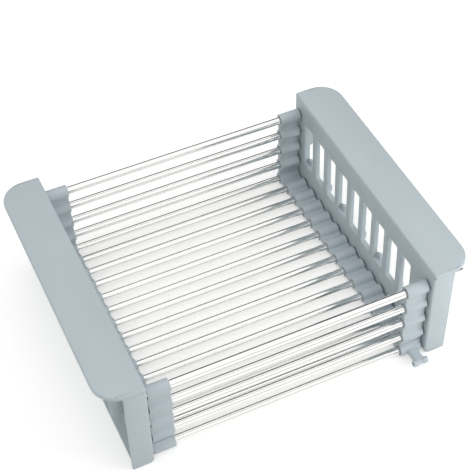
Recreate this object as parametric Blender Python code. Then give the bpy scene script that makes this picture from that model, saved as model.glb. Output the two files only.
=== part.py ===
"""Expandable dish drainer for a sink, in metres, +Z up.

Two moulded end panels carry round steel rods. The rods of each half are tied at their far
ends by a scalloped joiner, and they slide through the joiner of the other half. So the
basket pulls out along +X, from the closed length built here until the joiners meet.
"""

import math

import bmesh
import bpy

# Sizes of the basket
INNER_LENGTH = 0.200
PANEL_DEPTH = 0.200
PANEL_HEIGHT = 0.080
PANEL_GAP = 0.0013

# Sizes of an end panel
PANEL_WALL = 0.0024
GRILLE_WALL = 0.0036
CHEEK_WIDTH = 0.0150
FOOT_CHAMFER = 0.0025
FOOT_SETBACK = 0.0014
NOTCH_DEPTH = 0.0026
NOTCH_HEIGHT = 0.0237
NOTCH_SLOPE_SHARE = 0.78
FLANGE_REACH = 0.030
FLANGE_THICKNESS = 0.0028
FLANGE_PROUD = 0.0004
CEILING_DROP = 0.0006
FLANGE_CORNER = 0.017
FLANGE_CORNER_STEPS = 8
SLOT_PITCH = 0.0177
SLOT_WIDTH = 0.0125
SLOT_SILL = 0.0225
SLOT_HEAD_ROOM = 0.018
SLOT_CORNER = 0.001
SLOT_LEAN_SHARE = 0.035
SLOT_END_ROOM = 0.00965
GUSSET_END_ROOM = 0.0105
GUSSET_THICKNESS = 0.0018
GUSSET_REACH = 0.0225
GUSSET_TIP = 0.0210
GUSSET_HEIGHT = 0.0262
STUB_WIDTH = 0.0047
STUB_REACH = 0.0071
STUB_FOOT = 0.0187
STUB_TIP = 0.0243
STUB_TOP = 0.0274
SOCKET_DEPTH = 0.006
SOCKET_END = 0.0015
SOCKET_WALL = 0.0014

# Sizes of the rods and their layout
ROD_RADIUS = 0.00275
ROD_TUBE_WALL = 0.0005
ROD_FIT = 0.0003
ROD_SIDES = 12
ROD_END_RECESS = 0.001
ROW_SIDE_ROOM = 0.0076
ROW_TOP_ROOM = 0.0147
ROW_FLOOR = 0.0048
ROW_HALF_DEPTH = PANEL_DEPTH / 2 - ROW_SIDE_ROOM
ROW_TOP = PANEL_HEIGHT - ROW_TOP_ROOM
WALL_RODS = 5
FLOOR_RODS = 13

# Sizes of a joiner
JOINER_LENGTH = 0.0154
BULGE_RADIUS = 0.0045
WEB_INNER = 0.0009
WEB_OUTER = 0.0023
SCALLOP_STEPS = 8
CAP_STEPS = 6
LEAST_TURN_SHARE = 0.001
GROOVE_HEIGHT = 0.0020
GROOVE_DEPTH = 0.0022
LUG_SHIFT = 0.0007
LUG_NECK_WIDTH = 0.0072
LUG_NECK_HEIGHT = 0.0042
LUG_REACH = 0.0148
LUG_BAR_LENGTH = 0.0110
LUG_BAR_RADIUS = 0.0023
LUG_BORE_RADIUS = 0.0011
LUG_BORE_DEPTH = 0.004
LUG_BORE_TURN_SHARE = 0.5
LUG_SIDES = 12

# How far a cut or a joined piece runs past the face it goes through
OVERRUN = 0.0006

# Colours as linear values, with roughness and metallic
PANEL_COLOUR = (0.482, 0.539, 0.574, 1.0)
JOINER_COLOUR = (0.434, 0.491, 0.527, 1.0)
STEEL_COLOUR = (0.80, 0.79, 0.77, 1.0)

# Turns that stand a flat outline upright: its own X and Y become world Y and Z, or X and Z
ALONG_X = (math.radians(90), 0.0, math.radians(90))
ALONG_Y = (math.radians(90), 0.0, 0.0)
FLAT = (0.0, 0.0, 0.0)


def clear_scene():
    """Remove every object, so the script builds the same thing each time."""
    for old in list(bpy.data.objects):
        bpy.data.objects.remove(old, do_unlink=True)


def collection(name):
    """Make a collection and link it to the scene."""
    made = bpy.data.collections.new(name)
    bpy.context.scene.collection.children.link(made)
    return made


def material(name, colour, roughness, metallic):
    """Make a Principled material."""
    made = bpy.data.materials.new(name)
    made.use_nodes = True
    shader = made.node_tree.nodes["Principled BSDF"]
    shader.inputs["Base Color"].default_value = colour
    shader.inputs["Roughness"].default_value = roughness
    shader.inputs["Metallic"].default_value = metallic
    made.diffuse_color = colour
    return made


def circle(centre, radius, sides, turned_share=0.0):
    """Points of a regular polygon of that circumscribed radius, turned by a share of one side."""
    turns = [2 * math.pi * (step + turned_share) / sides for step in range(sides)]
    return [(centre[0] + radius * math.cos(turn), centre[1] + radius * math.sin(turn)) for turn in turns]


def arc(centre, radius, start, end, steps):
    """Points along an arc, both ends included, angles in degrees."""
    turns = [math.radians(start + (end - start) * step / steps) for step in range(steps + 1)]
    return [(centre[0] + radius * math.cos(turn), centre[1] + radius * math.sin(turn)) for turn in turns]


def rounded_rectangle(low, high, radius, steps):
    """Points of a rectangle with four round corners."""
    points = arc((high[0] - radius, high[1] - radius), radius, 0, 90, steps)
    points += arc((low[0] + radius, high[1] - radius), radius, 90, 180, steps)
    points += arc((low[0] + radius, low[1] + radius), radius, 180, 270, steps)
    points += arc((high[0] - radius, low[1] + radius), radius, 270, 360, steps)
    return points


def rectangle(low, high):
    """Four corners of a rectangle."""
    return [(low[0], low[1]), (high[0], low[1]), (high[0], high[1]), (low[0], high[1])]


def prism(name, outlines, thickness, turn, place, home):
    """Extrude flat outlines, holes included, into one mesh centred on the given place."""
    curve = bpy.data.curves.new(name, "CURVE")
    curve.dimensions = "2D"
    curve.fill_mode = "BOTH"
    curve.extrude = thickness / 2
    for points in outlines:
        spline = curve.splines.new("POLY")
        spline.points.add(len(points) - 1)
        for point, (across, up) in zip(spline.points, points):
            point.co = (across, up, 0.0, 1.0)
        spline.use_cyclic_u = True
    flat = bpy.data.objects.new(name + "_curve", curve)
    flat.rotation_euler = turn
    flat.location = place
    home.objects.link(flat)
    bpy.context.view_layer.update()
    mesh = bpy.data.meshes.new_from_object(flat.evaluated_get(bpy.context.evaluated_depsgraph_get()))
    mesh.transform(flat.matrix_world)
    bpy.data.objects.remove(flat, do_unlink=True)
    bpy.data.curves.remove(curve)
    made = bpy.data.objects.new(name, mesh)
    home.objects.link(made)
    weld(mesh)
    return made


def weld(mesh):
    """Join the doubled points of a converted curve and shade its round sides smooth."""
    work = bmesh.new()
    work.from_mesh(mesh)
    bmesh.ops.remove_doubles(work, verts=work.verts, dist=0.000001)
    bmesh.ops.recalc_face_normals(work, faces=work.faces)
    work.to_mesh(mesh)
    work.free()
    mesh.shade_smooth()
    mesh.set_sharp_from_angle(angle=math.radians(40))


def combine(target, tool, operation):
    """Add a live exact Boolean that joins or cuts the tool into the target."""
    tool.parent = target
    tool.hide_render = True
    tool.display_type = "WIRE"
    step = target.modifiers.new(operation.lower() + "_" + tool.name, "BOOLEAN")
    step.operation = operation
    step.solver = "EXACT"
    step.object = tool


def rod_places():
    """The (y, z) centre of every rod, from the back wall's top, along the floor, to the front."""
    wall_pitch = (ROW_TOP - ROW_FLOOR) / (WALL_RODS - 1)
    floor_pitch = 2 * ROW_HALF_DEPTH / (FLOOR_RODS + 1)
    back = [(ROW_HALF_DEPTH, ROW_TOP - wall_pitch * row) for row in range(WALL_RODS)]
    floor = [(ROW_HALF_DEPTH - floor_pitch * (row + 1), ROW_FLOOR) for row in range(FLOOR_RODS)]
    front = [(-y, z) for y, z in reversed(back)]
    return back + floor + front


def slot_places():
    """Middle of every slot across the panel: as many as fit, from the back row of rods on."""
    first = ROW_HALF_DEPTH - SLOT_END_ROOM - SLOT_WIDTH / 2
    last = SLOT_END_ROOM + SLOT_WIDTH / 2 - ROW_HALF_DEPTH
    count = math.floor((first - last) / SLOT_PITCH) + 1
    return [first - SLOT_PITCH * number for number in range(count)]


def bore_radius():
    """Circumscribed radius of a polygon bore whose flats clear a rod by the fit."""
    return (ROD_RADIUS + ROD_FIT) / math.cos(math.pi / ROD_SIDES)


def corners_only(points):
    """The points at which a closed outline turns, without those in the middle of a straight run."""
    kept = []
    for before, point, after in zip(points[-1:] + points[:-1], points, points[1:] + points[:1]):
        arriving = (point[0] - before[0], point[1] - before[1])
        leaving = (after[0] - point[0], after[1] - point[1])
        turn = arriving[0] * leaving[1] - arriving[1] * leaving[0]
        if abs(turn) > LEAST_TURN_SHARE * math.hypot(*arriving) * math.hypot(*leaving):
            kept.append(point)
    return kept


def scallop(pitch_share, pitch, web):
    """How far a side of the joiner lies from the rods' middles, at a share of the pitch past a rod: a
    round bulge, then the web of the thickness given."""
    away = pitch * abs(pitch_share - round(pitch_share))
    return max(web, math.sqrt(max(BULGE_RADIUS ** 2 - away ** 2, 0.0)))


def joiner_outline():
    """The scalloped U of a joiner, in y and z, built for y above zero and mirrored."""
    wall_pitch = (ROW_TOP - ROW_FLOOR) / (WALL_RODS - 1)
    floor_pitch = 2 * ROW_HALF_DEPTH / (FLOOR_RODS + 1)
    half_floor = (FLOOR_RODS + 1) // 2
    floor_shares = [step / SCALLOP_STEPS for step in range(half_floor * SCALLOP_STEPS)]
    wall_shares = [step / SCALLOP_STEPS for step in range(1, (WALL_RODS - 1) * SCALLOP_STEPS)]
    corner = (ROW_HALF_DEPTH, ROW_FLOOR)
    top = (ROW_HALF_DEPTH, ROW_TOP)
    half_step = SCALLOP_STEPS // 2
    under = [(share * floor_pitch, ROW_FLOOR - scallop(share, floor_pitch, WEB_OUTER))
             for share in floor_shares]
    outside = [(ROW_HALF_DEPTH + scallop(share, wall_pitch, WEB_OUTER), ROW_FLOOR + share * wall_pitch)
               for share in wall_shares]
    inside = [(ROW_HALF_DEPTH - scallop(share, wall_pitch, WEB_INNER), ROW_FLOOR + share * wall_pitch)
              for share in reversed(wall_shares[half_step - 1:])]
    over = [(share * floor_pitch, ROW_FLOOR + scallop(share, floor_pitch, WEB_INNER))
            for share in reversed(floor_shares[:len(floor_shares) - half_step + 1])]
    half = under + arc(corner, BULGE_RADIUS, 270, 360, CAP_STEPS // 2) + outside
    half += arc(top, BULGE_RADIUS, 0, 180, CAP_STEPS) + inside
    half += arc(corner, BULGE_RADIUS, 112, 158, 2) + over
    mirrored = [(-y, z) for y, z in reversed(half) if y > 0]
    return corners_only(half + mirrored)


def leaning_slot(middle, back):
    """Outline of a slot that leans towards the front of the drainer lower down."""
    head = PANEL_HEIGHT - SLOT_HEAD_ROOM
    level = (head + SLOT_SILL) / 2
    upright = rounded_rectangle((middle - SLOT_WIDTH / 2, SLOT_SILL), (middle + SLOT_WIDTH / 2, head),
                                SLOT_CORNER, 2)
    return [(across + back * SLOT_LEAN_SHARE * (up - level), up) for across, up in upright]


def end_panel(name, socket_places, back, home, tools):
    """A panel with its inner wall on x = 0, open towards +x, under a flange. Its back is the side
    that looks along +y or -y, as the sign given says."""
    half_depth = PANEL_DEPTH / 2 - FLANGE_PROUD
    side = [(0.0, FOOT_CHAMFER), (FOOT_CHAMFER, 0.0), (CHEEK_WIDTH, 0.0),
            (CHEEK_WIDTH, PANEL_HEIGHT - OVERRUN), (0.0, PANEL_HEIGHT - OVERRUN)]
    panel = prism(name, [side], 2 * half_depth, ALONG_Y, (0.0, 0.0, 0.0), home)

    ceiling = PANEL_HEIGHT - FLANGE_THICKNESS - CEILING_DROP
    foot_edge = CHEEK_WIDTH - FOOT_SETBACK
    recess_side = [(GRILLE_WALL, PANEL_WALL), (foot_edge, PANEL_WALL), (foot_edge, -OVERRUN),
                   (CHEEK_WIDTH + OVERRUN, -OVERRUN), (CHEEK_WIDTH + OVERRUN, ceiling),
                   (GRILLE_WALL, ceiling)]
    recess = prism(name + "_recess", [recess_side], 2 * (half_depth - PANEL_WALL), ALONG_Y,
                   (0.0, 0.0, 0.0), tools)
    combine(panel, recess, "DIFFERENCE")

    notch_top = NOTCH_HEIGHT + NOTCH_SLOPE_SHARE * (NOTCH_DEPTH + OVERRUN)
    notch_side = [(CHEEK_WIDTH - NOTCH_DEPTH, -OVERRUN), (CHEEK_WIDTH + OVERRUN, -OVERRUN),
                  (CHEEK_WIDTH + OVERRUN, notch_top), (CHEEK_WIDTH - NOTCH_DEPTH, NOTCH_HEIGHT)]
    notch = prism(name + "_notch", [notch_side], PANEL_WALL + 2 * OVERRUN, ALONG_Y,
                  (0.0, back * (half_depth - PANEL_WALL / 2), 0.0), tools)
    combine(panel, notch, "DIFFERENCE")

    edge = PANEL_DEPTH / 2
    flange_outline = [(0.0, -edge)]
    flange_outline += arc((FLANGE_REACH - FLANGE_CORNER, FLANGE_CORNER - edge), FLANGE_CORNER, 270, 360,
                          FLANGE_CORNER_STEPS)
    flange_outline += arc((FLANGE_REACH - FLANGE_CORNER, edge - FLANGE_CORNER), FLANGE_CORNER, 0, 90,
                          FLANGE_CORNER_STEPS)
    flange_outline += [(0.0, edge)]
    flange = prism(name + "_flange", [flange_outline], FLANGE_THICKNESS, FLAT,
                   (0.0, 0.0, PANEL_HEIGHT - FLANGE_THICKNESS / 2), tools)
    combine(panel, flange, "UNION")

    boss_radius = ROD_RADIUS + ROD_FIT + SOCKET_WALL
    boss_depth = SOCKET_DEPTH + SOCKET_END - GRILLE_WALL + OVERRUN
    boss_middle = GRILLE_WALL - OVERRUN + boss_depth / 2
    boss_outlines = [circle(place, boss_radius, ROD_SIDES) for place in socket_places]
    bosses = prism(name + "_bosses", boss_outlines, boss_depth, ALONG_X, (boss_middle, 0.0, 0.0), tools)
    combine(panel, bosses, "UNION")

    ledge = PANEL_HEIGHT - FLANGE_THICKNESS
    for sign, where in ((-1, "front"), (1, "back")):
        gusset_side = [(GRILLE_WALL - OVERRUN, ledge - GUSSET_HEIGHT), (GUSSET_TIP, ledge - GUSSET_HEIGHT),
                       (GUSSET_REACH, ledge + OVERRUN), (GRILLE_WALL - OVERRUN, ledge + OVERRUN)]
        gusset = prism(name + "_gusset_" + where, [gusset_side], GUSSET_THICKNESS, ALONG_Y,
                       (0.0, sign * (edge - GUSSET_END_ROOM), 0.0), tools)
        combine(panel, gusset, "UNION")

    socket_outlines = [circle(place, bore_radius(), ROD_SIDES) for place in socket_places]
    sockets = prism(name + "_sockets", socket_outlines, SOCKET_DEPTH + OVERRUN, ALONG_X,
                    ((SOCKET_DEPTH - OVERRUN) / 2, 0.0, 0.0), tools)
    combine(panel, sockets, "DIFFERENCE")

    slot_outlines = [leaning_slot(back * middle, back) for middle in slot_places()]
    slots = prism(name + "_slots", slot_outlines, GRILLE_WALL + 2 * OVERRUN, ALONG_X,
                  (GRILLE_WALL / 2, 0.0, 0.0), tools)
    combine(panel, slots, "DIFFERENCE")

    stub_side = [(GRILLE_WALL - OVERRUN, STUB_FOOT), (STUB_REACH, STUB_FOOT), (STUB_REACH, STUB_TIP),
                 (GRILLE_WALL, STUB_TOP), (GRILLE_WALL - OVERRUN, STUB_TOP)]
    floor_sockets = [y for y, z in socket_places if abs(y) < ROW_HALF_DEPTH and z == ROW_FLOOR]
    for number, y in enumerate(floor_sockets, 1):
        stub = prism("{}_stub_{}".format(name, number), [stub_side], STUB_WIDTH, ALONG_Y,
                     (0.0, y, 0.0), tools)
        combine(panel, stub, "UNION")
    return panel


def joiner(name, home, tools):
    """A scalloped strip with a bore for every rod, a groove over each lower corner, and a T-shaped
    lug at the front one."""
    bores = [circle(place, bore_radius(), ROD_SIDES) for place in rod_places()]
    strip = prism(name, [joiner_outline()] + bores, JOINER_LENGTH, ALONG_X, (0.0, 0.0, 0.0), home)
    wall_pitch = (ROW_TOP - ROW_FLOOR) / (WALL_RODS - 1)
    groove_width = BULGE_RADIUS - WEB_OUTER + GROOVE_DEPTH
    groove_middle = ROW_HALF_DEPTH + WEB_OUTER - GROOVE_DEPTH + groove_width / 2
    groove_level = ROW_FLOOR + wall_pitch / 2
    for sign, where in ((-1, "front"), (1, "back")):
        groove_side = rectangle((-groove_width / 2, -GROOVE_HEIGHT / 2),
                                (groove_width / 2, GROOVE_HEIGHT / 2))
        groove = prism(name + "_groove_" + where, [groove_side], JOINER_LENGTH + 2 * OVERRUN, ALONG_X,
                       (0.0, sign * groove_middle, groove_level), tools)
        combine(strip, groove, "DIFFERENCE")

    root = ROW_HALF_DEPTH + ROD_RADIUS + ROD_FIT + WEB_INNER / 2
    tip = ROW_HALF_DEPTH + LUG_REACH
    neck_low = (LUG_SHIFT - LUG_NECK_WIDTH / 2, ROW_FLOOR - LUG_NECK_HEIGHT / 2)
    neck_high = (LUG_SHIFT + LUG_NECK_WIDTH / 2, ROW_FLOOR + LUG_NECK_HEIGHT / 2)
    neck = prism(name + "_lug_neck", [rectangle(neck_low, neck_high)], tip - root, ALONG_Y,
                 (0.0, -(tip + root) / 2, 0.0), tools)
    combine(strip, neck, "UNION")
    bar = prism(name + "_lug_bar", [circle((-tip, ROW_FLOOR), LUG_BAR_RADIUS, LUG_SIDES)], LUG_BAR_LENGTH,
                ALONG_X, (LUG_SHIFT, 0.0, 0.0), tools)
    combine(strip, bar, "UNION")
    hole_outline = circle((-tip, ROW_FLOOR), LUG_BORE_RADIUS, LUG_SIDES, LUG_BORE_TURN_SHARE)
    hole = prism(name + "_lug_hole", [hole_outline], LUG_BORE_DEPTH + OVERRUN, ALONG_X,
                 (LUG_SHIFT - (LUG_BAR_LENGTH - LUG_BORE_DEPTH + OVERRUN) / 2, 0.0, 0.0), tools)
    combine(strip, hole, "DIFFERENCE")
    return strip


def rod(name, length, home):
    """A round tube along x that starts at its own origin."""
    outside = circle((0.0, 0.0), ROD_RADIUS, ROD_SIDES)
    inside = circle((0.0, 0.0), ROD_RADIUS - ROD_TUBE_WALL, ROD_SIDES)
    return prism(name, [outside, inside], length, ALONG_X, (length / 2, 0.0, 0.0), home)


def half(name, home):
    """An empty at the middle of the base that carries one half of the drainer."""
    carrier = bpy.data.objects.new(name, None)
    carrier.empty_display_size = CHEEK_WIDTH
    home.objects.link(carrier)
    return carrier


def main():
    """Build both halves of the closed drainer."""
    clear_scene()
    home = collection("dish_drainer")
    tools = collection("cutters")
    panel_plastic = material("panel_plastic", PANEL_COLOUR, 0.45, 0.0)
    joiner_plastic = material("joiner_plastic", JOINER_COLOUR, 0.45, 0.0)
    steel = material("polished_steel", STEEL_COLOUR, 0.15, 1.0)

    inner = INNER_LENGTH / 2
    joiner_place = inner - PANEL_GAP - JOINER_LENGTH / 2
    rod_start = SOCKET_DEPTH - ROD_FIT
    rod_length = rod_start + INNER_LENGTH - PANEL_GAP - ROD_END_RECESS
    places = rod_places()

    for side, sign, own_places in (("left", -1, places[0::2]), ("right", 1, places[1::2])):
        carrier = half(side + "_half", home)
        facing = 0.0 if sign > 0 else math.pi
        panel = end_panel(side + "_end_panel", own_places, sign, home, tools)
        panel.location = (sign * inner, 0.0, 0.0)
        panel.rotation_euler = (0.0, 0.0, facing)
        panel.data.materials.append(panel_plastic)
        panel.parent = carrier

        strip = joiner(side + "_joiner", home, tools)
        strip.location = (-sign * joiner_place, 0.0, 0.0)
        strip.rotation_euler = (0.0, 0.0, math.pi - facing)
        strip.data.materials.append(joiner_plastic)
        strip.parent = carrier

        for number, (y, z) in enumerate(own_places, 1):
            tube = rod("{}_rod_{:02d}".format(side, number), rod_length, home)
            tube.location = (sign * (inner + rod_start), y, z)
            tube.rotation_euler = (0.0, 0.0, math.pi - facing)
            tube.data.materials.append(steel)
            tube.parent = carrier


main()
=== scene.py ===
"""Looks of an expandable dish drainer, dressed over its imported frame, in metres, +Z up.

Two moulded end panels, two scalloped joiners and 23 steel tubes. Every place comes from the
frame: a piece is worked out round the node that it replaces, and rides on that node's body.
"""

import math

import bmesh
import bpy
import numpy as np
from mathutils import Matrix, Vector


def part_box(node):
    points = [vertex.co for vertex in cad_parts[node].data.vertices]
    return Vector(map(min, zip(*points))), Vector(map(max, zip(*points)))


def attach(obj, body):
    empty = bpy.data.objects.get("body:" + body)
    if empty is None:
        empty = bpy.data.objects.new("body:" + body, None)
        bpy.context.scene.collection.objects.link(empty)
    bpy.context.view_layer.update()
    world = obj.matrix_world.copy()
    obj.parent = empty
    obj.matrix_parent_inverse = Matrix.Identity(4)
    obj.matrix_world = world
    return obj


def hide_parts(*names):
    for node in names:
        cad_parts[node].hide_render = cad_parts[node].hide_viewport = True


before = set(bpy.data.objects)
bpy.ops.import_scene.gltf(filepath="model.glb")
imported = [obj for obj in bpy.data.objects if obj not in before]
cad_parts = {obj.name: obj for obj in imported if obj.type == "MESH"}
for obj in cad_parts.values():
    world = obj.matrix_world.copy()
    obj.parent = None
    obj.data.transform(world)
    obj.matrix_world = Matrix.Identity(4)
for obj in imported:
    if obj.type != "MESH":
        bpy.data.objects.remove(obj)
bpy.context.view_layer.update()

bl_info = {
    "name": "Dish Drainer Looks",
    "version": (1, 0, 0),
    "blender": (4, 5, 0),
    "location": "3D View > Sidebar > Drainer",
    "description": "Builds the finished surfaces of an expandable dish drainer",
    "category": "Object",
}

MM = 0.001
MERGE_DISTANCE = 0.002 * MM
CUT_DISTANCE = 0.001 * MM
SAME_PLACE = 0.05 * MM
FLOOR_DROP = 0.3 * MM
UPRIGHT_SHARE = 0.9
FLAT_ANGLE = math.radians(1)
ROUNDED_ANGLE = math.radians(50)
TUBE_SHARP_ANGLE = math.radians(60)
JOINER_SHARP_ANGLE = math.radians(38)

# What the frame gives
LEFT_RODS = sorted(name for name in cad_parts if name.startswith("left_rod"))
RIGHT_RODS = sorted(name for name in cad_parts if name.startswith("right_rod"))
SIDES = ("left", "right")
PANEL_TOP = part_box("right_end_panel")[1].z
PANEL_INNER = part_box("right_end_panel")[0].x


def linear(code):
    """Turn an sRGB hex colour into linear red, green and blue."""
    parts = [int(code[place:place + 2], 16) / 255 for place in (1, 3, 5)]
    return tuple(part / 12.92 if part <= 0.04045 else ((part + 0.055) / 1.055) ** 2.4 for part in parts)


def length(name, description, default):
    """A length property in metres, shown in the scene's unit."""
    return bpy.props.FloatProperty(name=name, description=description, default=default, min=0.0,
                                   precision=5, subtype="DISTANCE", unit="LENGTH")


def count(name, description, default):
    """A property that counts steps of a surface."""
    return bpy.props.IntProperty(name=name, description=description, default=default, min=1)


def colour(name, description, code):
    """A colour property with its default given as an sRGB hex value."""
    return bpy.props.FloatVectorProperty(name=name, description=description, default=linear(code),
                                         min=0.0, max=1.0, size=3, subtype="COLOR")


class DrainerRodSizes(bpy.types.PropertyGroup):
    """Sizes of the steel tubes that their nodes don't give."""

    tube_wall: length("Tube wall", "Thickness of the tube's wall", 0.5 * MM)
    rim_round: length("Rim round", "Radius on the cut end of a tube", 0.15 * MM)
    sides: count("Sides", "Flats round a tube", 56)
    rim_steps: count("Rim steps", "Steps round a tube's rim", 3)


class DrainerJoinerSizes(bpy.types.PropertyGroup):
    """Sizes of the scalloped joiners."""

    bulge_radius: length("Bulge radius", "Half thickness of the strip over a rod", 4.5 * MM)
    web_inner: length("Web inner half", "From the rods' row to the web's face inside the U", 0.9 * MM)
    web_outer: length("Web outer half", "From the rods' row to the web's face outside the U", 2.3 * MM)
    fillet: length("Fillet", "Radius where a bulge runs out into the web", 0.8 * MM)
    groove_height: length("Groove height", "Height of the groove over each lower corner", 1.6 * MM)
    groove_share: bpy.props.FloatProperty(name="Groove share", default=0.95, min=0.0, max=0.95,
                                          description="Share of the web's outer half that the groove takes")
    edge_round: length("Edge round", "Radius on the strip's outer edges", 0.2 * MM)
    rim_round: length("Bore rim round", "Radius on the rim of a bore", 0.25 * MM)
    rod_fit: length("Rod fit", "Clearance between a rod and its bore", 0.3 * MM)
    lug_radius: length("Lug radius", "Radius of the lug's cross bar", 2.3 * MM)
    lug_length: length("Lug length", "Length of the lug's cross bar", 11.0 * MM)
    lug_shift: length("Lug shift", "From the strip's middle to the lug's, towards the panel", 0.7 * MM)
    lug_waist: length("Lug waist", "Radius of the cross bar between its two ends", 1.7 * MM)
    lug_knob: length("Lug knob", "Length of each thicker end of the cross bar", 3.2 * MM)
    lug_hole: length("Lug hole", "Radius of the hole in the cross bar's end", 1.1 * MM)
    lug_hole_depth: length("Lug hole depth", "Depth of that hole", 4.0 * MM)
    lug_round: length("Lug round", "Radius on the cross bar's ends", 0.7 * MM)
    neck_width: length("Neck width", "Width of the lug's neck along the rods", 7.2 * MM)
    neck_height: length("Neck height", "Height of the lug's neck", 4.0 * MM)
    neck_flare: length("Neck flare", "How far the neck widens where it leaves the strip", 0.6 * MM)
    neck_power: bpy.props.FloatProperty(name="Neck power", default=0.6, min=0.1, max=1.0,
                                        description="Power of the neck's section, 1 for an ellipse")
    bulge_steps: count("Bulge steps", "Steps in a quarter turn round a bulge", 14)
    fillet_steps: count("Fillet steps", "Steps round a fillet", 5)
    web_steps: count("Web steps", "Steps along the web on each side of a valley", 6)
    valley_steps: count("Valley steps", "Steps across the web in a valley", 4)
    round_steps: count("Round steps", "Steps round an edge", 4)


class DrainerPanelSizes(bpy.types.PropertyGroup):
    """Radii on the edges of the end panels."""

    flange_thickness: length("Flange thickness", "Thickness of the rim flange", 2.8 * MM)
    flange_ends: length("Flange ends", "How far the flange's ends stand out past the cheeks", 0.4 * MM)
    arris_round: length("Arris round", "Radius where the inner wall turns into the flange", 1.4 * MM)
    flange_round: length("Flange round", "Radius on the flange's top edge", 1.0 * MM)
    corner_round: length("Corner round", "Radius on the upright corner of wall and cheek", 1.6 * MM)
    slot_round: length("Slot round", "Radius on the slots' inner edges", 0.35 * MM)
    step_round: length("Step round", "Radius under the flange's edge", 0.15 * MM)
    edge_round: length("Edge round", "Radius on every other edge", 0.25 * MM)
    cut_back: length("Cut back", "How far from the corners the faces are divided", 2.0 * MM)
    round_steps: count("Round steps", "Steps round an edge", 3)


class DrainerFinishes(bpy.types.PropertyGroup):
    """Colours of the finishes."""

    panel: colour("Panel plastic", "Blue-grey polypropylene of the end panels", "#B9C4C9")
    joiner: colour("Joiner plastic", "Blue-grey polypropylene of the joiners", "#B8C2C8")
    steel: colour("Steel", "Polished stainless steel of the rods", "#F5F5F3")


class DrainerStage(bpy.types.PropertyGroup):
    """Camera, lamps and floor."""

    focal_length: bpy.props.FloatProperty(name="Focal length", default=95.9, min=1.0, unit="CAMERA",
                                          description="Lens of the camera, in millimetres")
    azimuth: bpy.props.FloatProperty(name="Azimuth", default=math.radians(-23.60), subtype="ANGLE",
                                     unit="ROTATION", description="Turn of the camera's view from +Y")
    elevation: bpy.props.FloatProperty(name="Elevation", default=math.radians(47.44), subtype="ANGLE",
                                       unit="ROTATION", description="How far the camera looks down")
    roll: bpy.props.FloatProperty(name="Roll", default=math.radians(-1.68), subtype="ANGLE",
                                  unit="ROTATION", description="Turn of the picture about the view")
    place: bpy.props.FloatVectorProperty(name="Camera place", default=(-0.2247, -0.5241, 0.6910), size=3,
                                         subtype="TRANSLATION", unit="LENGTH",
                                         description="Where the camera stands")
    top_level: bpy.props.FloatProperty(name="Top level", default=0.94, min=0.0,
                                       description="Strength of the soft light from above")
    side_level: bpy.props.FloatProperty(name="Side level", default=0.12, min=0.0,
                                        description="Strength of the soft light from the level")
    key_power: bpy.props.FloatProperty(name="Key power", default=1.15, min=0.0, subtype="POWER",
                                       unit="POWER", description="Power of the lamp at the front right")
    key_size: length("Key size", "Side of the lamp at the front right", 0.3)
    key_place: bpy.props.FloatVectorProperty(name="Key place", default=(0.40, -0.42, 0.21), size=3,
                                             subtype="TRANSLATION", unit="LENGTH",
                                             description="Where the lamp at the front right hangs")
    fill_power: bpy.props.FloatProperty(name="Fill power", default=3.0, min=0.0, subtype="POWER",
                                        unit="POWER", description="Power of the large lamp overhead")
    fill_size: length("Fill size", "Side of the large lamp overhead", 1.5)
    fill_place: bpy.props.FloatVectorProperty(name="Fill place", default=(-0.5, -0.4, 2.4), size=3,
                                              subtype="TRANSLATION", unit="LENGTH",
                                              description="Where the large lamp overhead hangs")
    floor_half: length("Floor half side", "Half the side of the floor", 6.0)
    floor_colour: colour("Floor colour", "Off-white paper of the floor", "#E8E8E6")
    floor_lift: bpy.props.FloatProperty(name="Floor lift", default=0.38, min=0.0,
                                        description="Light added where the camera or a mirror sees it")


class DishDrainerSettings(bpy.types.PropertyGroup):
    """All settings of the dish drainer."""

    rods: bpy.props.PointerProperty(name="Rods", description="Sizes of the rods", type=DrainerRodSizes)
    joiners: bpy.props.PointerProperty(name="Joiners", description="Sizes of the joiners",
                                       type=DrainerJoinerSizes)
    panels: bpy.props.PointerProperty(name="Panels", description="Radii of the end panels",
                                      type=DrainerPanelSizes)
    finishes: bpy.props.PointerProperty(name="Finishes", description="Colours of the finishes",
                                        type=DrainerFinishes)
    stage: bpy.props.PointerProperty(name="Stage", description="Camera, lamps and floor",
                                     type=DrainerStage)


def add_node(tree, kind, settings, inputs):
    """Add a node, set its own settings, and fill its inputs with values or links."""
    made = tree.nodes.new(kind)
    for name, value in settings.items():
        setattr(made, name, value)
    for name, value in inputs.items():
        if isinstance(value, bpy.types.NodeSocket):
            tree.links.new(value, made.inputs[name])
        else:
            made.inputs[name].default_value = value
    return made


def spread(tree, noise, low, high):
    """Map a noise's middle range, 0.3 to 0.7, to the range between two values."""
    made = add_node(tree, "ShaderNodeMapRange", {}, {"Value": noise.outputs["Fac"], "From Min": 0.3,
                                                    "From Max": 0.7, "To Min": low, "To Max": high})
    return made.outputs["Result"]


def new_material(name):
    """A material with its node tree and its Principled shader."""
    made = bpy.data.materials.new(name)
    made.use_nodes = True
    return made, made.node_tree, made.node_tree.nodes["Principled BSDF"]


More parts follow.
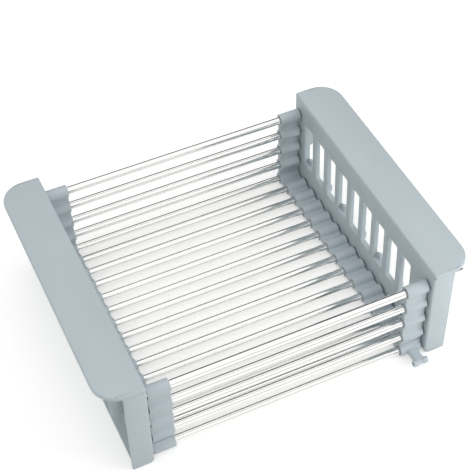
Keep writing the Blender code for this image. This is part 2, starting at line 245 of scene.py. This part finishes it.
def moulded_polypropylene(name, tint):
    """Injection-moulded polypropylene, from a finely spark-eroded tool: a satin skin with a
    grain that softens every highlight, and faint clouds in tone where the melt flowed."""
    made, tree, shader = new_material(name)
    place = add_node(tree, "ShaderNodeTexCoord", {}, {}).outputs["Object"]

    # Clouds of about 35 mm, drawn out along the flow, change the tone by about two parts in a hundred
    flow = add_node(tree, "ShaderNodeMapping", {}, {"Vector": place, "Scale": (1.0, 0.6, 1.6)})
    clouds = add_node(tree, "ShaderNodeTexNoise", {},
                      {"Vector": flow.outputs["Vector"], "Scale": 1 / (35 * MM), "Detail": 3.0})
    shade = add_node(tree, "ShaderNodeVectorMath", {"operation": "SCALE"},
                     {0: tuple(tint), "Scale": spread(tree, clouds, 0.97, 1.02)})
    tree.links.new(shade.outputs["Vector"], shader.inputs["Base Color"])

    # The tool's grain is about 0.2 mm and is drawn at 0.6 mm, so that it shows close up
    grain = add_node(tree, "ShaderNodeTexNoise", {},
                     {"Vector": place, "Scale": 1 / (0.6 * MM), "Detail": 2.0, "Roughness": 0.6})
    tree.links.new(spread(tree, grain, 0.40, 0.50), shader.inputs["Roughness"])

    # Long soft waves of 25 mm stand for the slight sink of a thin moulding
    sink = add_node(tree, "ShaderNodeTexNoise", {},
                    {"Vector": place, "Scale": 1 / (25 * MM), "Detail": 1.0})
    waves = add_node(tree, "ShaderNodeBump", {}, {"Height": sink.outputs["Fac"], "Strength": 0.35,
                                                  "Distance": 0.25 * MM})
    skin = add_node(tree, "ShaderNodeBump", {}, {"Height": grain.outputs["Fac"], "Strength": 0.25,
                                                 "Distance": 0.03 * MM, "Normal": waves.outputs["Normal"]})
    tree.links.new(skin.outputs["Normal"], shader.inputs["Normal"])
    shader.inputs["IOR"].default_value = 1.49
    return made


def polished_stainless(name, tint):
    """Drawn and polished stainless steel tube: a bright mirror along the length, blurred a
    little across it by the finest drawing lines."""
    made, tree, shader = new_material(name)
    place = add_node(tree, "ShaderNodeTexCoord", {}, {}).outputs["Object"]

    # Drawing lines are some hundredths of a millimetre wide and are drawn at 0.35 mm, 40 mm long
    along = add_node(tree, "ShaderNodeMapping", {}, {"Vector": place, "Scale": (0.35 / 40, 1.0, 1.0)})
    lines = add_node(tree, "ShaderNodeTexNoise", {},
                     {"Vector": along.outputs["Vector"], "Scale": 1 / (0.35 * MM), "Detail": 2.0})
    tree.links.new(spread(tree, lines, 0.11, 0.15), shader.inputs["Roughness"])
    scratch = add_node(tree, "ShaderNodeBump", {}, {"Height": lines.outputs["Fac"], "Strength": 0.06,
                                                    "Distance": 0.01 * MM})
    tree.links.new(scratch.outputs["Normal"], shader.inputs["Normal"])

    # Handling leaves a faint change of tone every 60 mm or so
    haze = add_node(tree, "ShaderNodeTexNoise", {},
                    {"Vector": place, "Scale": 1 / (60 * MM), "Detail": 2.0})
    shade = add_node(tree, "ShaderNodeVectorMath", {"operation": "SCALE"},
                     {0: tuple(tint), "Scale": spread(tree, haze, 0.95, 1.0)})
    tree.links.new(shade.outputs["Vector"], shader.inputs["Base Color"])
    shader.inputs["Metallic"].default_value = 1.0
    return made


def shared_material(name, make, tint):
    """The material of that name, made the first time it is asked for."""
    return bpy.data.materials.get(name) or make(name, tint)


def loop_faces(rows, columns):
    """Quads of a grid that closes on itself both ways, one row of four indices for each."""
    row, column = np.meshgrid(np.arange(rows), np.arange(columns), indexing="ij")
    after_row = (row + 1) % rows
    after_column = (column + 1) % columns
    corners = (row * columns + column, row * columns + after_column,
               after_row * columns + after_column, after_row * columns + column)
    return np.stack(corners, axis=-1).reshape(-1, 4)


def turned_surface(profile, sides, centre):
    """A closed profile of (x, radius) pairs carried round an axis along x: each point is its x,
    with the radius times the cosine and sine of the turn added to the centre's y and z."""
    turns = 2 * np.pi * np.arange(sides) / sides
    along = np.repeat(profile[:, 0], sides)
    radius = np.repeat(profile[:, 1], sides)
    turn = np.tile(turns, len(profile))
    points = np.stack((along, centre[0] + radius * np.cos(turn), centre[1] + radius * np.sin(turn)), axis=1)
    return points, loop_faces(len(profile), sides)


def joined(surfaces):
    """Join surfaces, each given as points and faces, into one."""
    offsets = np.cumsum([0] + [len(points) for points, faces in surfaces[:-1]])
    points = np.concatenate([points for points, faces in surfaces])
    faces = np.concatenate([faces + offset for (_, faces), offset in zip(surfaces, offsets)])
    return points, faces


def make_piece(name, points, faces, sharp_angle):
    """Put a surface into a mesh object, merge its doubles, turn its faces outwards and shade it."""
    mesh = bpy.data.meshes.new(name)
    mesh.from_pydata(points, [], faces.tolist())
    work = bmesh.new()
    work.from_mesh(mesh)
    bmesh.ops.remove_doubles(work, verts=work.verts, dist=MERGE_DISTANCE)
    bmesh.ops.delete(work, geom=[vert for vert in work.verts if not vert.link_faces], context="VERTS")
    bmesh.ops.recalc_face_normals(work, faces=work.faces)
    work.to_mesh(mesh)
    work.free()
    mesh.shade_smooth()
    mesh.set_sharp_from_angle(angle=sharp_angle)
    made = bpy.data.objects.new(name, mesh)
    bpy.context.scene.collection.objects.link(made)
    return made


def dress(piece, node, material):
    """Give a piece its finish, let it stand for its node and ride on that node's body."""
    piece.data.materials.clear()
    piece.data.materials.append(material)
    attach(piece, node.split("_")[0] + "_half")
    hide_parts(node)


def quarter(steps):
    """Sines and cosines of a quarter turn, both ends included."""
    turns = np.pi / 2 * np.arange(steps + 1) / steps
    return np.sin(turns), np.cos(turns)


def rod_centre(node):
    """The y and z of a rod's axis, from its node."""
    low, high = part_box(node)
    return np.array(((low.y + high.y) / 2, (low.z + high.z) / 2))


def rod_radius():
    """Outside radius of the rods, from a node."""
    low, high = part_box(LEFT_RODS[0])
    return (high.z - low.z) / 2


def rod_centres():
    """Axes of all rods, from the back wall's top, along the floor, to the front wall's top."""
    centres = np.empty((len(LEFT_RODS) + len(RIGHT_RODS), 2))
    centres[0::2] = [rod_centre(node) for node in LEFT_RODS]
    centres[1::2] = [rod_centre(node) for node in RIGHT_RODS]
    return centres


def tube_profile(low, high, outside, inside, rim, steps):
    """Closed profile of a tube along x: outer wall, rounded rim, inner wall, rounded rim."""
    sine, cosine = quarter(steps)
    far_outer = np.stack((high - rim + rim * sine, outside - rim + rim * cosine), axis=1)
    far_inner = np.stack((high - rim + rim * cosine, inside + rim - rim * sine), axis=1)
    near_inner = np.stack((low + rim - rim * sine, inside + rim - rim * cosine), axis=1)
    near_outer = np.stack((low + rim - rim * cosine, outside - rim + rim * sine), axis=1)
    return np.concatenate((far_outer, far_inner, near_inner, near_outer))


class DRAINER_OT_rods(bpy.types.Operator):
    """Make every steel tube with its rounded rims and its bore"""

    bl_idname = "drainer.rods"
    bl_label = "Make Rods"

    def execute(self, context):
        settings = context.scene.dish_drainer
        sizes = settings.rods
        steel = shared_material("polished_stainless_steel", polished_stainless, settings.finishes.steel)
        for node in LEFT_RODS + RIGHT_RODS:
            low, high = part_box(node)
            outside = rod_radius()
            profile = tube_profile(low.x, high.x, outside, outside - sizes.tube_wall, sizes.rim_round,
                                   sizes.rim_steps)
            points, faces = turned_surface(profile, sizes.sides, rod_centre(node))
            piece = make_piece(node + "_tube", points, faces, TUBE_SHARP_ANGLE)
            dress(piece, node, steel)
        return {"FINISHED"}


def arms_of(centres, number, sizes):
    """Directions in which the strip leaves a rod, in rising turn. Each is given with its pitch
    and with how far the web's faces lie to its right and to its left. Towards the next rod the
    outside of the U is on the left."""
    arms = []
    for neighbour, right, left in ((number - 1, sizes.web_outer, sizes.web_inner),
                                   (number + 1, sizes.web_inner, sizes.web_outer)):
        if 0 <= neighbour < len(centres):
            away = centres[neighbour] - centres[number]
            arms.append((math.atan2(away[1], away[0]) % (2 * math.pi), float(np.hypot(*away)), right, left))
    return sorted(arms)


def spun(points, turn):
    """Points of a plane turned about its origin."""
    sine, cosine = math.sin(turn), math.cos(turn)
    return points @ np.array(((cosine, sine), (-sine, cosine)))


def web_side(pitch, half, inset, sizes):
    """One side of the web from just before a valley, with the fillet onto the bulge, and the turn
    at which the fillet ends. Fillet and circle touch on the line through their centres. It is as
    long as both radii together, and rises by the web's half and the fillet's radius."""
    reach = sizes.bulge_radius + sizes.fillet
    rise = half + sizes.fillet
    tangent = math.asin(rise / reach)
    foot = reach * math.cos(tangent)
    run = min(sizes.groove_height, pitch / 2 - foot)
    shares = np.arange(1, sizes.web_steps + 1) / (sizes.web_steps + 1)
    web = np.column_stack((pitch / 2 - run * shares, np.full(sizes.web_steps, half - inset)))
    turns = np.linspace(0.0, math.pi / 2 - tangent, sizes.fillet_steps + 1)
    fillet = np.column_stack((foot - (sizes.fillet + inset) * np.sin(turns),
                              rise - (sizes.fillet + inset) * np.cos(turns)))
    return np.concatenate((web, fillet)), tangent


def strip_outline(arms, inset, sizes):
    """Loop of y and z offsets round one rod, and which of its steps cross the web in a valley. For
    each arm it crosses the web, follows its left side to the bulge, goes round the bulge's
    circle, and out along the next arm's right side."""
    loop = []
    crossing = []
    for number, (turn, pitch, right, left) in enumerate(arms):
        after_turn, after_pitch, after_right, after_left = arms[(number + 1) % len(arms)]
        sweep = (after_turn - turn) % (2 * math.pi) or 2 * math.pi
        across = np.linspace(inset - right, left - inset, sizes.valley_steps + 1)
        valley = np.column_stack((np.full(len(across), pitch / 2), across))
        up, start = web_side(pitch, left, inset, sizes)
        down, end = web_side(after_pitch, after_right, inset, sizes)
        bend = sweep - start - end
        bend_steps = round(bend / (math.pi / 2) * sizes.bulge_steps)
        turns = (turn + start + bend * np.arange(bend_steps + 1) / bend_steps)[1:-1]
        circle = (sizes.bulge_radius - inset) * np.column_stack((np.cos(turns), np.sin(turns)))
        side = np.concatenate((spun(up, turn), circle, spun(down[::-1] * (1, -1), after_turn)))
        loop += [spun(valley, turn), side]
        crossing += [np.arange(len(valley)) < sizes.valley_steps, np.zeros(len(side), bool)]
    return np.concatenate(loop), np.concatenate(crossing)


def grooved(points, centres, sizes):
    """Draw the web in over both lower corners: its way out from the row of rods shrinks by a share
    that falls as the exponential of the sixth power of the height from the groove's middle."""
    row = centres[:, 0].max()
    walls = np.sort(centres[centres[:, 0] > row - MM, 1])
    away = (points[:, 1] - walls[:2].mean()) / (sizes.groove_height / 2)
    out = np.abs(points[:, 0]) - row
    drawn = out * (1 - sizes.groove_share * np.exp(-away ** 6))
    across = np.sign(points[:, 0]) * (row + np.where(out > 0, drawn, out))
    return np.column_stack((across, points[:, 1]))


def strip_stretch(number, centres, low, high, bore, sizes):
    """The strip round one rod. The rows run along the bore, round its rim, over the end face,
    round the outer edge, along the skin to the other end, and back to the bore."""
    sine, cosine = quarter(sizes.round_steps)
    arms = arms_of(centres, number, sizes)
    rim = sizes.rim_round
    edge = sizes.edge_round
    outer, crossing = strip_outline(arms, 0.0, sizes)
    rays = outer / np.linalg.norm(outer, axis=1)[:, None]
    rims = [(rim * (1 - s), (bore + rim * (1 - c)) * rays) for s, c in zip(sine, cosine)]
    edges = [(edge * (1 - c), strip_outline(arms, edge * (1 - s), sizes)[0])
             for s, c in zip(sine, cosine)]
    one_end = rims + edges
    rows = [(low + deep, flat) for deep, flat in one_end]
    rows += [(high - deep, flat) for deep, flat in one_end[::-1]]
    points = np.concatenate([np.column_stack((np.full(len(flat), x),
                                              grooved(flat + centres[number], centres, sizes)))
                             for x, flat in rows])
    faces = loop_faces(len(rows), len(outer))
    row = np.repeat(np.arange(len(rows)), len(outer))
    skin = (row >= len(rims)) & (row < len(rows) - len(rims) - 1)
    inside = skin & np.tile(crossing, len(rows))
    return points, faces[~inside]


def lug_bar(middle, facing, sizes):
    """The lug's cross bar along x: a turned profile with two thick round ends, a blind hole in one,
    and a waist between them that the profile falls to as a half cosine."""
    sine, cosine = quarter(sizes.round_steps)
    half = sizes.lug_length / 2
    radius = sizes.lug_radius
    soft = sizes.lug_round
    lip = soft / 3
    hole = sizes.lug_hole
    bottom = half - sizes.lug_hole_depth
    fall = np.linspace(0.0, 1.0, 2 * sizes.round_steps)
    waist = radius + (sizes.lug_waist - radius) * (1 - np.cos(np.pi * fall)) / 2
    profile = [(bottom, 0.0), (bottom, hole)]
    profile += [(half - lip + lip * s, hole + lip * (1 - c)) for s, c in zip(sine, cosine)]
    profile += [(half - soft + soft * c, radius - soft + soft * s) for s, c in zip(sine, cosine)]
    profile += [(half - sizes.lug_knob - soft * way, wide) for way, wide in zip(fall, waist)]
    profile += [(-half + sizes.lug_knob + soft * way, wide) for way, wide in zip(fall[::-1], waist[::-1])]
    profile += [(-half + soft - soft * s, radius - soft + soft * c) for s, c in zip(sine, cosine)]
    profile += [(-half, 0.0)]
    profile = np.array(profile)
    profile[:, 0] = middle[0] + facing * profile[:, 0]
    return turned_surface(profile, 4 * sizes.bulge_steps, middle[1:])


def lug_neck(root, tip, sizes):
    """The lug's neck: a rounded square carried along y, wider at its root by a flare that falls
    with the fourth power of the way out."""
    way = np.linspace(0.0, 1.0, 2 * sizes.bulge_steps)
    turns = 2 * np.pi * np.arange(4 * sizes.bulge_steps) / (4 * sizes.bulge_steps)
    wide = np.sign(np.cos(turns)) * np.abs(np.cos(turns)) ** sizes.neck_power
    tall = np.sign(np.sin(turns)) * np.abs(np.sin(turns)) ** sizes.neck_power
    flare = sizes.neck_flare * (1 - way) ** 4
    half_wide = np.concatenate(([0.0], sizes.neck_width / 2 + flare, [0.0]))
    half_tall = np.concatenate(([0.0], sizes.neck_height / 2 + flare, [0.0]))
    along = np.concatenate(([0.0], way, [1.0]))
    x = root[0] + half_wide[:, None] * wide
    y = root[1] + (tip[1] - root[1]) * along[:, None] * np.ones(len(turns))
    z = root[2] + half_tall[:, None] * tall
    points = np.stack((x, y, z), axis=-1).reshape(-1, 3)
    faces = loop_faces(len(along), len(turns))
    return points, faces[:-len(turns)]


class DRAINER_OT_joiners(bpy.types.Operator):
    """Make both scalloped joiners, each with a bore for every rod and a T-shaped lug"""

    bl_idname = "drainer.joiners"
    bl_label = "Make Joiners"

    def execute(self, context):
        settings = context.scene.dish_drainer
        sizes = settings.joiners
        plastic = shared_material("moulded_joiner_polypropylene", moulded_polypropylene,
                                  settings.finishes.joiner)
        centres = rod_centres()
        for side, front in zip(SIDES, (-1, 1)):
            node = side + "_joiner"
            low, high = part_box(node)
            surfaces = [strip_stretch(number, centres, low.x, high.x, rod_radius() + sizes.rod_fit, sizes)
                        for number in range(len(centres))]
            tip_y = (low.y if front < 0 else high.y) - front * sizes.lug_radius
            floor_z = float(centres[:, 1].min())
            middle = (low.x + high.x) / 2 - front * sizes.lug_shift
            root_y = front * (float(centres[:, 0].max()) + sizes.bulge_radius - sizes.lug_round)
            surfaces.append(lug_neck((middle, root_y, floor_z), (middle, tip_y, floor_z), sizes))
            surfaces.append(lug_bar((middle, tip_y, floor_z), front, sizes))
            points, faces = joined(surfaces)
            piece = make_piece(node + "_moulding", points, faces, JOINER_SHARP_ANGLE)
            dress(piece, node, plastic)
        return {"FINISHED"}


def edge_width(middle, run, cheek, sizes):
    """Radius that a panel's edge gets, from where its middle is, which way it runs, and how far
    from the drainer's middle the cheeks' outer faces lie."""
    depth = abs(middle.x) - PANEL_INNER
    near = SAME_PLACE
    under = PANEL_TOP - sizes.flange_thickness
    if middle.z > PANEL_TOP - near:
        return sizes.arris_round if depth < near else sizes.flange_round
    if abs(middle.z - under) < near:
        return 0.0 if depth < near else sizes.step_round
    past_cheek = abs(middle.y) - cheek
    if depth < near and abs(run.z) > UPRIGHT_SHARE and past_cheek > -near:
        return sizes.corner_round + past_cheek
    if depth < near:
        return sizes.slot_round
    return sizes.edge_round


def cut_faces_by_corners(work, sizes):
    """Divide the long faces near the panel's corners along seams, so that the turned normals of a
    rounded corner don't reach along them."""
    low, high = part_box("right_end_panel")
    back = sizes.cut_back
    under_flange = high.z - sizes.flange_thickness - back
    above_foot = low.z + 2 * back
    for level, upright in ((high.y - back, (0, 1, 0)), (low.y + back, (0, 1, 0)),
                           (under_flange, (0, 0, 1)), (above_foot, (0, 0, 1))):
        everything = work.verts[:] + work.edges[:] + work.faces[:]
        made = bmesh.ops.bisect_plane(work, geom=everything, dist=CUT_DISTANCE,
                                      plane_co=Vector(upright) * level, plane_no=upright)
        for part in made["geom_cut"]:
            if isinstance(part, bmesh.types.BMEdge):
                part.seam = True


class DRAINER_OT_end_panels(bpy.types.Operator):
    """Make both end panels from their nodes, with every edge rounded as a mould rounds it"""

    bl_idname = "drainer.end_panels"
    bl_label = "Make End Panels"

    def execute(self, context):
        settings = context.scene.dish_drainer
        sizes = settings.panels
        plastic = shared_material("moulded_panel_polypropylene", moulded_polypropylene,
                                  settings.finishes.panel)
        widest = sizes.corner_round + sizes.flange_ends
        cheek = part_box("right_end_panel")[1].y - sizes.flange_ends
        for side in SIDES:
            node = side + "_end_panel"
            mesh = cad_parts[node].data.copy()
            mesh.name = node + "_moulding"
            work = bmesh.new()
            work.from_mesh(mesh)
            bmesh.ops.remove_doubles(work, verts=work.verts, dist=MERGE_DISTANCE)
            cut_faces_by_corners(work, sizes)
            bmesh.ops.dissolve_limit(work, angle_limit=FLAT_ANGLE, verts=work.verts, edges=work.edges,
                                     delimit={"SEAM"})
            bmesh.ops.recalc_face_normals(work, faces=work.faces)
            weights = work.edges.layers.float.new("bevel_weight_edge")
            for edge in work.edges:
                edge.smooth = True
                if len(edge.link_faces) == 2 and edge.calc_face_angle() > ROUNDED_ANGLE:
                    ends = [vert.co for vert in edge.verts]
                    middle = (ends[0] + ends[1]) / 2
                    run = (ends[1] - ends[0]).normalized()
                    edge[weights] = edge_width(middle, run, cheek, sizes) / widest
            for face in work.faces:
                face.smooth = True
            work.to_mesh(mesh)
            work.free()
            piece = bpy.data.objects.new(node + "_moulding", mesh)
            context.scene.collection.objects.link(piece)
            rounding = piece.modifiers.new("edge_rounding", "BEVEL")
            rounding.limit_method = "WEIGHT"
            rounding.width = widest
            rounding.segments = sizes.round_steps
            rounding.use_clamp_overlap = False
            rounding.harden_normals = True
            dress(piece, node, plastic)
        return {"FINISHED"}


def camera_pose(stage):
    """Where the camera stands and how it is turned, from azimuth, elevation and roll."""
    sine, cosine = math.sin(stage.azimuth), math.cos(stage.azimuth)
    low, high = math.cos(stage.elevation), math.sin(stage.elevation)
    ahead = Vector((-sine * low, cosine * low, -high))
    level = Vector((cosine, sine, 0.0))
    upright = level.cross(ahead)
    right = math.cos(stage.roll) * level + math.sin(stage.roll) * upright
    up = -math.sin(stage.roll) * level + math.cos(stage.roll) * upright
    turn = Matrix((right, up, -ahead)).transposed()
    return Matrix.Translation(stage.place) @ turn.to_4x4()


def soft_lamp(name, place, size, power):
    """A square lamp that faces the middle of the stage, unseen by the camera and in mirrors."""
    data = bpy.data.lights.new(name, "AREA")
    data.shape = "SQUARE"
    data.size = size
    data.energy = power
    lamp = bpy.data.objects.new(name, data)
    lamp.location = place
    lamp.visible_camera = False
    lamp.visible_glossy = False
    lamp.rotation_euler = (-Vector(place)).to_track_quat("-Z", "Y").to_euler()
    bpy.context.scene.collection.objects.link(lamp)


def white_world(stage):
    """A photographer's tent, lit from above. Seen directly it is white. A mirror sees its lit top,
    and below it the walls: dark behind the object, paler on the camera's side, where the lit
    part also reaches lower down."""
    world = bpy.data.worlds.new("photo_tent")
    world.use_nodes = True
    tree = world.node_tree
    tree.nodes.clear()
    rays = add_node(tree, "ShaderNodeLightPath", {}, {})
    direction = add_node(tree, "ShaderNodeTexCoord", {}, {}).outputs["Generated"]
    parts = add_node(tree, "ShaderNodeSeparateXYZ", {}, {"Vector": direction})
    soft = add_node(tree, "ShaderNodeMapRange", {},
                    {"Value": parts.outputs["Z"], "From Min": 0.0, "From Max": 0.6,
                     "To Min": stage.side_level, "To Max": stage.top_level})
    even = add_node(tree, "ShaderNodeBackground", {}, {"Color": soft.outputs["Result"], "Strength": 1.0})
    wall = add_node(tree, "ShaderNodeMapRange", {}, {"Value": parts.outputs["Y"], "From Min": -0.9,
                                                    "From Max": 0.9, "To Min": 0.56, "To Max": 0.03})
    lean = add_node(tree, "ShaderNodeMath", {"operation": "MULTIPLY_ADD"},
                    {0: parts.outputs["Y"], 1: -0.25, 2: parts.outputs["Z"]})
    tent = add_node(tree, "ShaderNodeMapRange", {"interpolation_type": "SMOOTHSTEP"},
                    {"Value": lean.outputs[0], "From Min": 0.42, "From Max": 0.60,
                     "To Min": wall.outputs["Result"], "To Max": 1.12})
    mirrored = add_node(tree, "ShaderNodeBackground", {},
                        {"Color": tent.outputs["Result"], "Strength": 1.0})
    seen = add_node(tree, "ShaderNodeBackground", {}, {"Strength": 1.0})
    seen.inputs["Color"].default_value = (1.0, 1.0, 1.0, 1.0)
    lit = add_node(tree, "ShaderNodeMixShader", {}, {0: rays.outputs["Is Glossy Ray"],
                                                    1: even.outputs[0], 2: mirrored.outputs[0]})
    shown = add_node(tree, "ShaderNodeMixShader", {}, {0: rays.outputs["Is Camera Ray"],
                                                      1: lit.outputs[0], 2: seen.outputs[0]})
    add_node(tree, "ShaderNodeOutputWorld", {}, {"Surface": shown.outputs[0]})
    bpy.context.scene.world = world


def paper_floor_material(stage):
    """Matt off-white paper, lifted to white where the camera or the steel sees it, so that only
    the object's own shadow is left on it."""
    made, tree, shader = new_material("white_paper")
    place = add_node(tree, "ShaderNodeTexCoord", {}, {}).outputs["Object"]
    fibre = add_node(tree, "ShaderNodeTexNoise", {},
                     {"Vector": place, "Scale": 1 / (2 * MM), "Detail": 3.0})
    tone = add_node(tree, "ShaderNodeMapRange", {}, {"Value": fibre.outputs["Fac"], "To Min": 0.99,
                                                    "To Max": 1.0})
    shade = add_node(tree, "ShaderNodeVectorMath", {"operation": "SCALE"},
                     {0: tuple(stage.floor_colour), "Scale": tone.outputs["Result"]})
    tree.links.new(shade.outputs["Vector"], shader.inputs["Base Color"])
    shader.inputs["Roughness"].default_value = 0.9
    shader.inputs["Specular IOR Level"].default_value = 0.0
    rays = add_node(tree, "ShaderNodeLightPath", {}, {})
    seen = add_node(tree, "ShaderNodeMath", {"operation": "MAXIMUM"},
                    {0: rays.outputs["Is Camera Ray"], 1: rays.outputs["Is Glossy Ray"]})
    lift = add_node(tree, "ShaderNodeMath", {"operation": "MULTIPLY"},
                    {0: seen.outputs[0], 1: stage.floor_lift})
    white = add_node(tree, "ShaderNodeEmission", {}, {"Strength": lift.outputs[0]})
    mixed = add_node(tree, "ShaderNodeAddShader", {}, {0: shader.outputs[0], 1: white.outputs[0]})
    tree.links.new(mixed.outputs[0], tree.nodes["Material Output"].inputs["Surface"])
    return made


class DRAINER_OT_stage(bpy.types.Operator):
    """Set the camera, both soft lamps, the white floor and the tent round them"""

    bl_idname = "drainer.stage"
    bl_label = "Make Stage"

    def execute(self, context):
        stage = context.scene.dish_drainer.stage
        camera_data = bpy.data.cameras.new("photo_camera")
        camera_data.lens = stage.focal_length
        camera_data.sensor_width = 36.0
        camera_data.clip_start = 0.01
        camera = bpy.data.objects.new("photo_camera", camera_data)
        camera.matrix_world = camera_pose(stage)
        context.scene.collection.objects.link(camera)
        context.scene.camera = camera

        side = stage.floor_half
        floor_mesh = bpy.data.meshes.new("white_floor")
        corners = np.array(((-1, -1), (1, -1), (1, 1), (-1, 1))) * side
        floor_points = np.column_stack((corners, np.full(4, -FLOOR_DROP)))
        floor_mesh.from_pydata(floor_points, [], [(0, 1, 2, 3)])
        floor_mesh.materials.append(paper_floor_material(stage))
        floor = bpy.data.objects.new("white_floor", floor_mesh)
        context.scene.collection.objects.link(floor)

        soft_lamp("soft_key", stage.key_place, stage.key_size, stage.key_power)
        soft_lamp("soft_fill", stage.fill_place, stage.fill_size, stage.fill_power)
        white_world(stage)
        context.scene.view_settings.view_transform = "Standard"
        return {"FINISHED"}


class VIEW3D_PT_drainer(bpy.types.Panel):
    """Lists the drainer's settings and the steps that make it"""

    bl_label = "Dish Drainer"
    bl_idname = "VIEW3D_PT_drainer"
    bl_space_type = "VIEW_3D"
    bl_region_type = "UI"
    bl_category = "Drainer"

    def draw(self, context):
        settings = context.scene.dish_drainer
        for title, group in (("End panels", settings.panels), ("Joiners", settings.joiners),
                             ("Rods", settings.rods), ("Finishes", settings.finishes),
                             ("Stage", settings.stage)):
            box = self.layout.box()
            box.label(text=title)
            for name in group.__annotations__:
                box.prop(group, name)
        for step in OPERATORS:
            self.layout.operator(step.bl_idname)


GROUPS = (DrainerRodSizes, DrainerJoinerSizes, DrainerPanelSizes, DrainerFinishes, DrainerStage,
          DishDrainerSettings)
OPERATORS = (DRAINER_OT_stage, DRAINER_OT_end_panels, DRAINER_OT_joiners, DRAINER_OT_rods)


def register():
    """Register the settings, the operators and the sidebar panel."""
    for made in GROUPS + OPERATORS + (VIEW3D_PT_drainer,):
        bpy.utils.register_class(made)
    bpy.types.Scene.dish_drainer = bpy.props.PointerProperty(type=DishDrainerSettings)


def unregister():
    """Take back what register did."""
    del bpy.types.Scene.dish_drainer
    for made in reversed(GROUPS + OPERATORS + (VIEW3D_PT_drainer,)):
        bpy.utils.unregister_class(made)


def main():
    register()
    bpy.ops.drainer.stage()
    bpy.ops.drainer.end_panels()
    bpy.ops.drainer.joiners()
    bpy.ops.drainer.rods()
    bpy.context.view_layer.update()


if __name__ == "__main__":
    main()
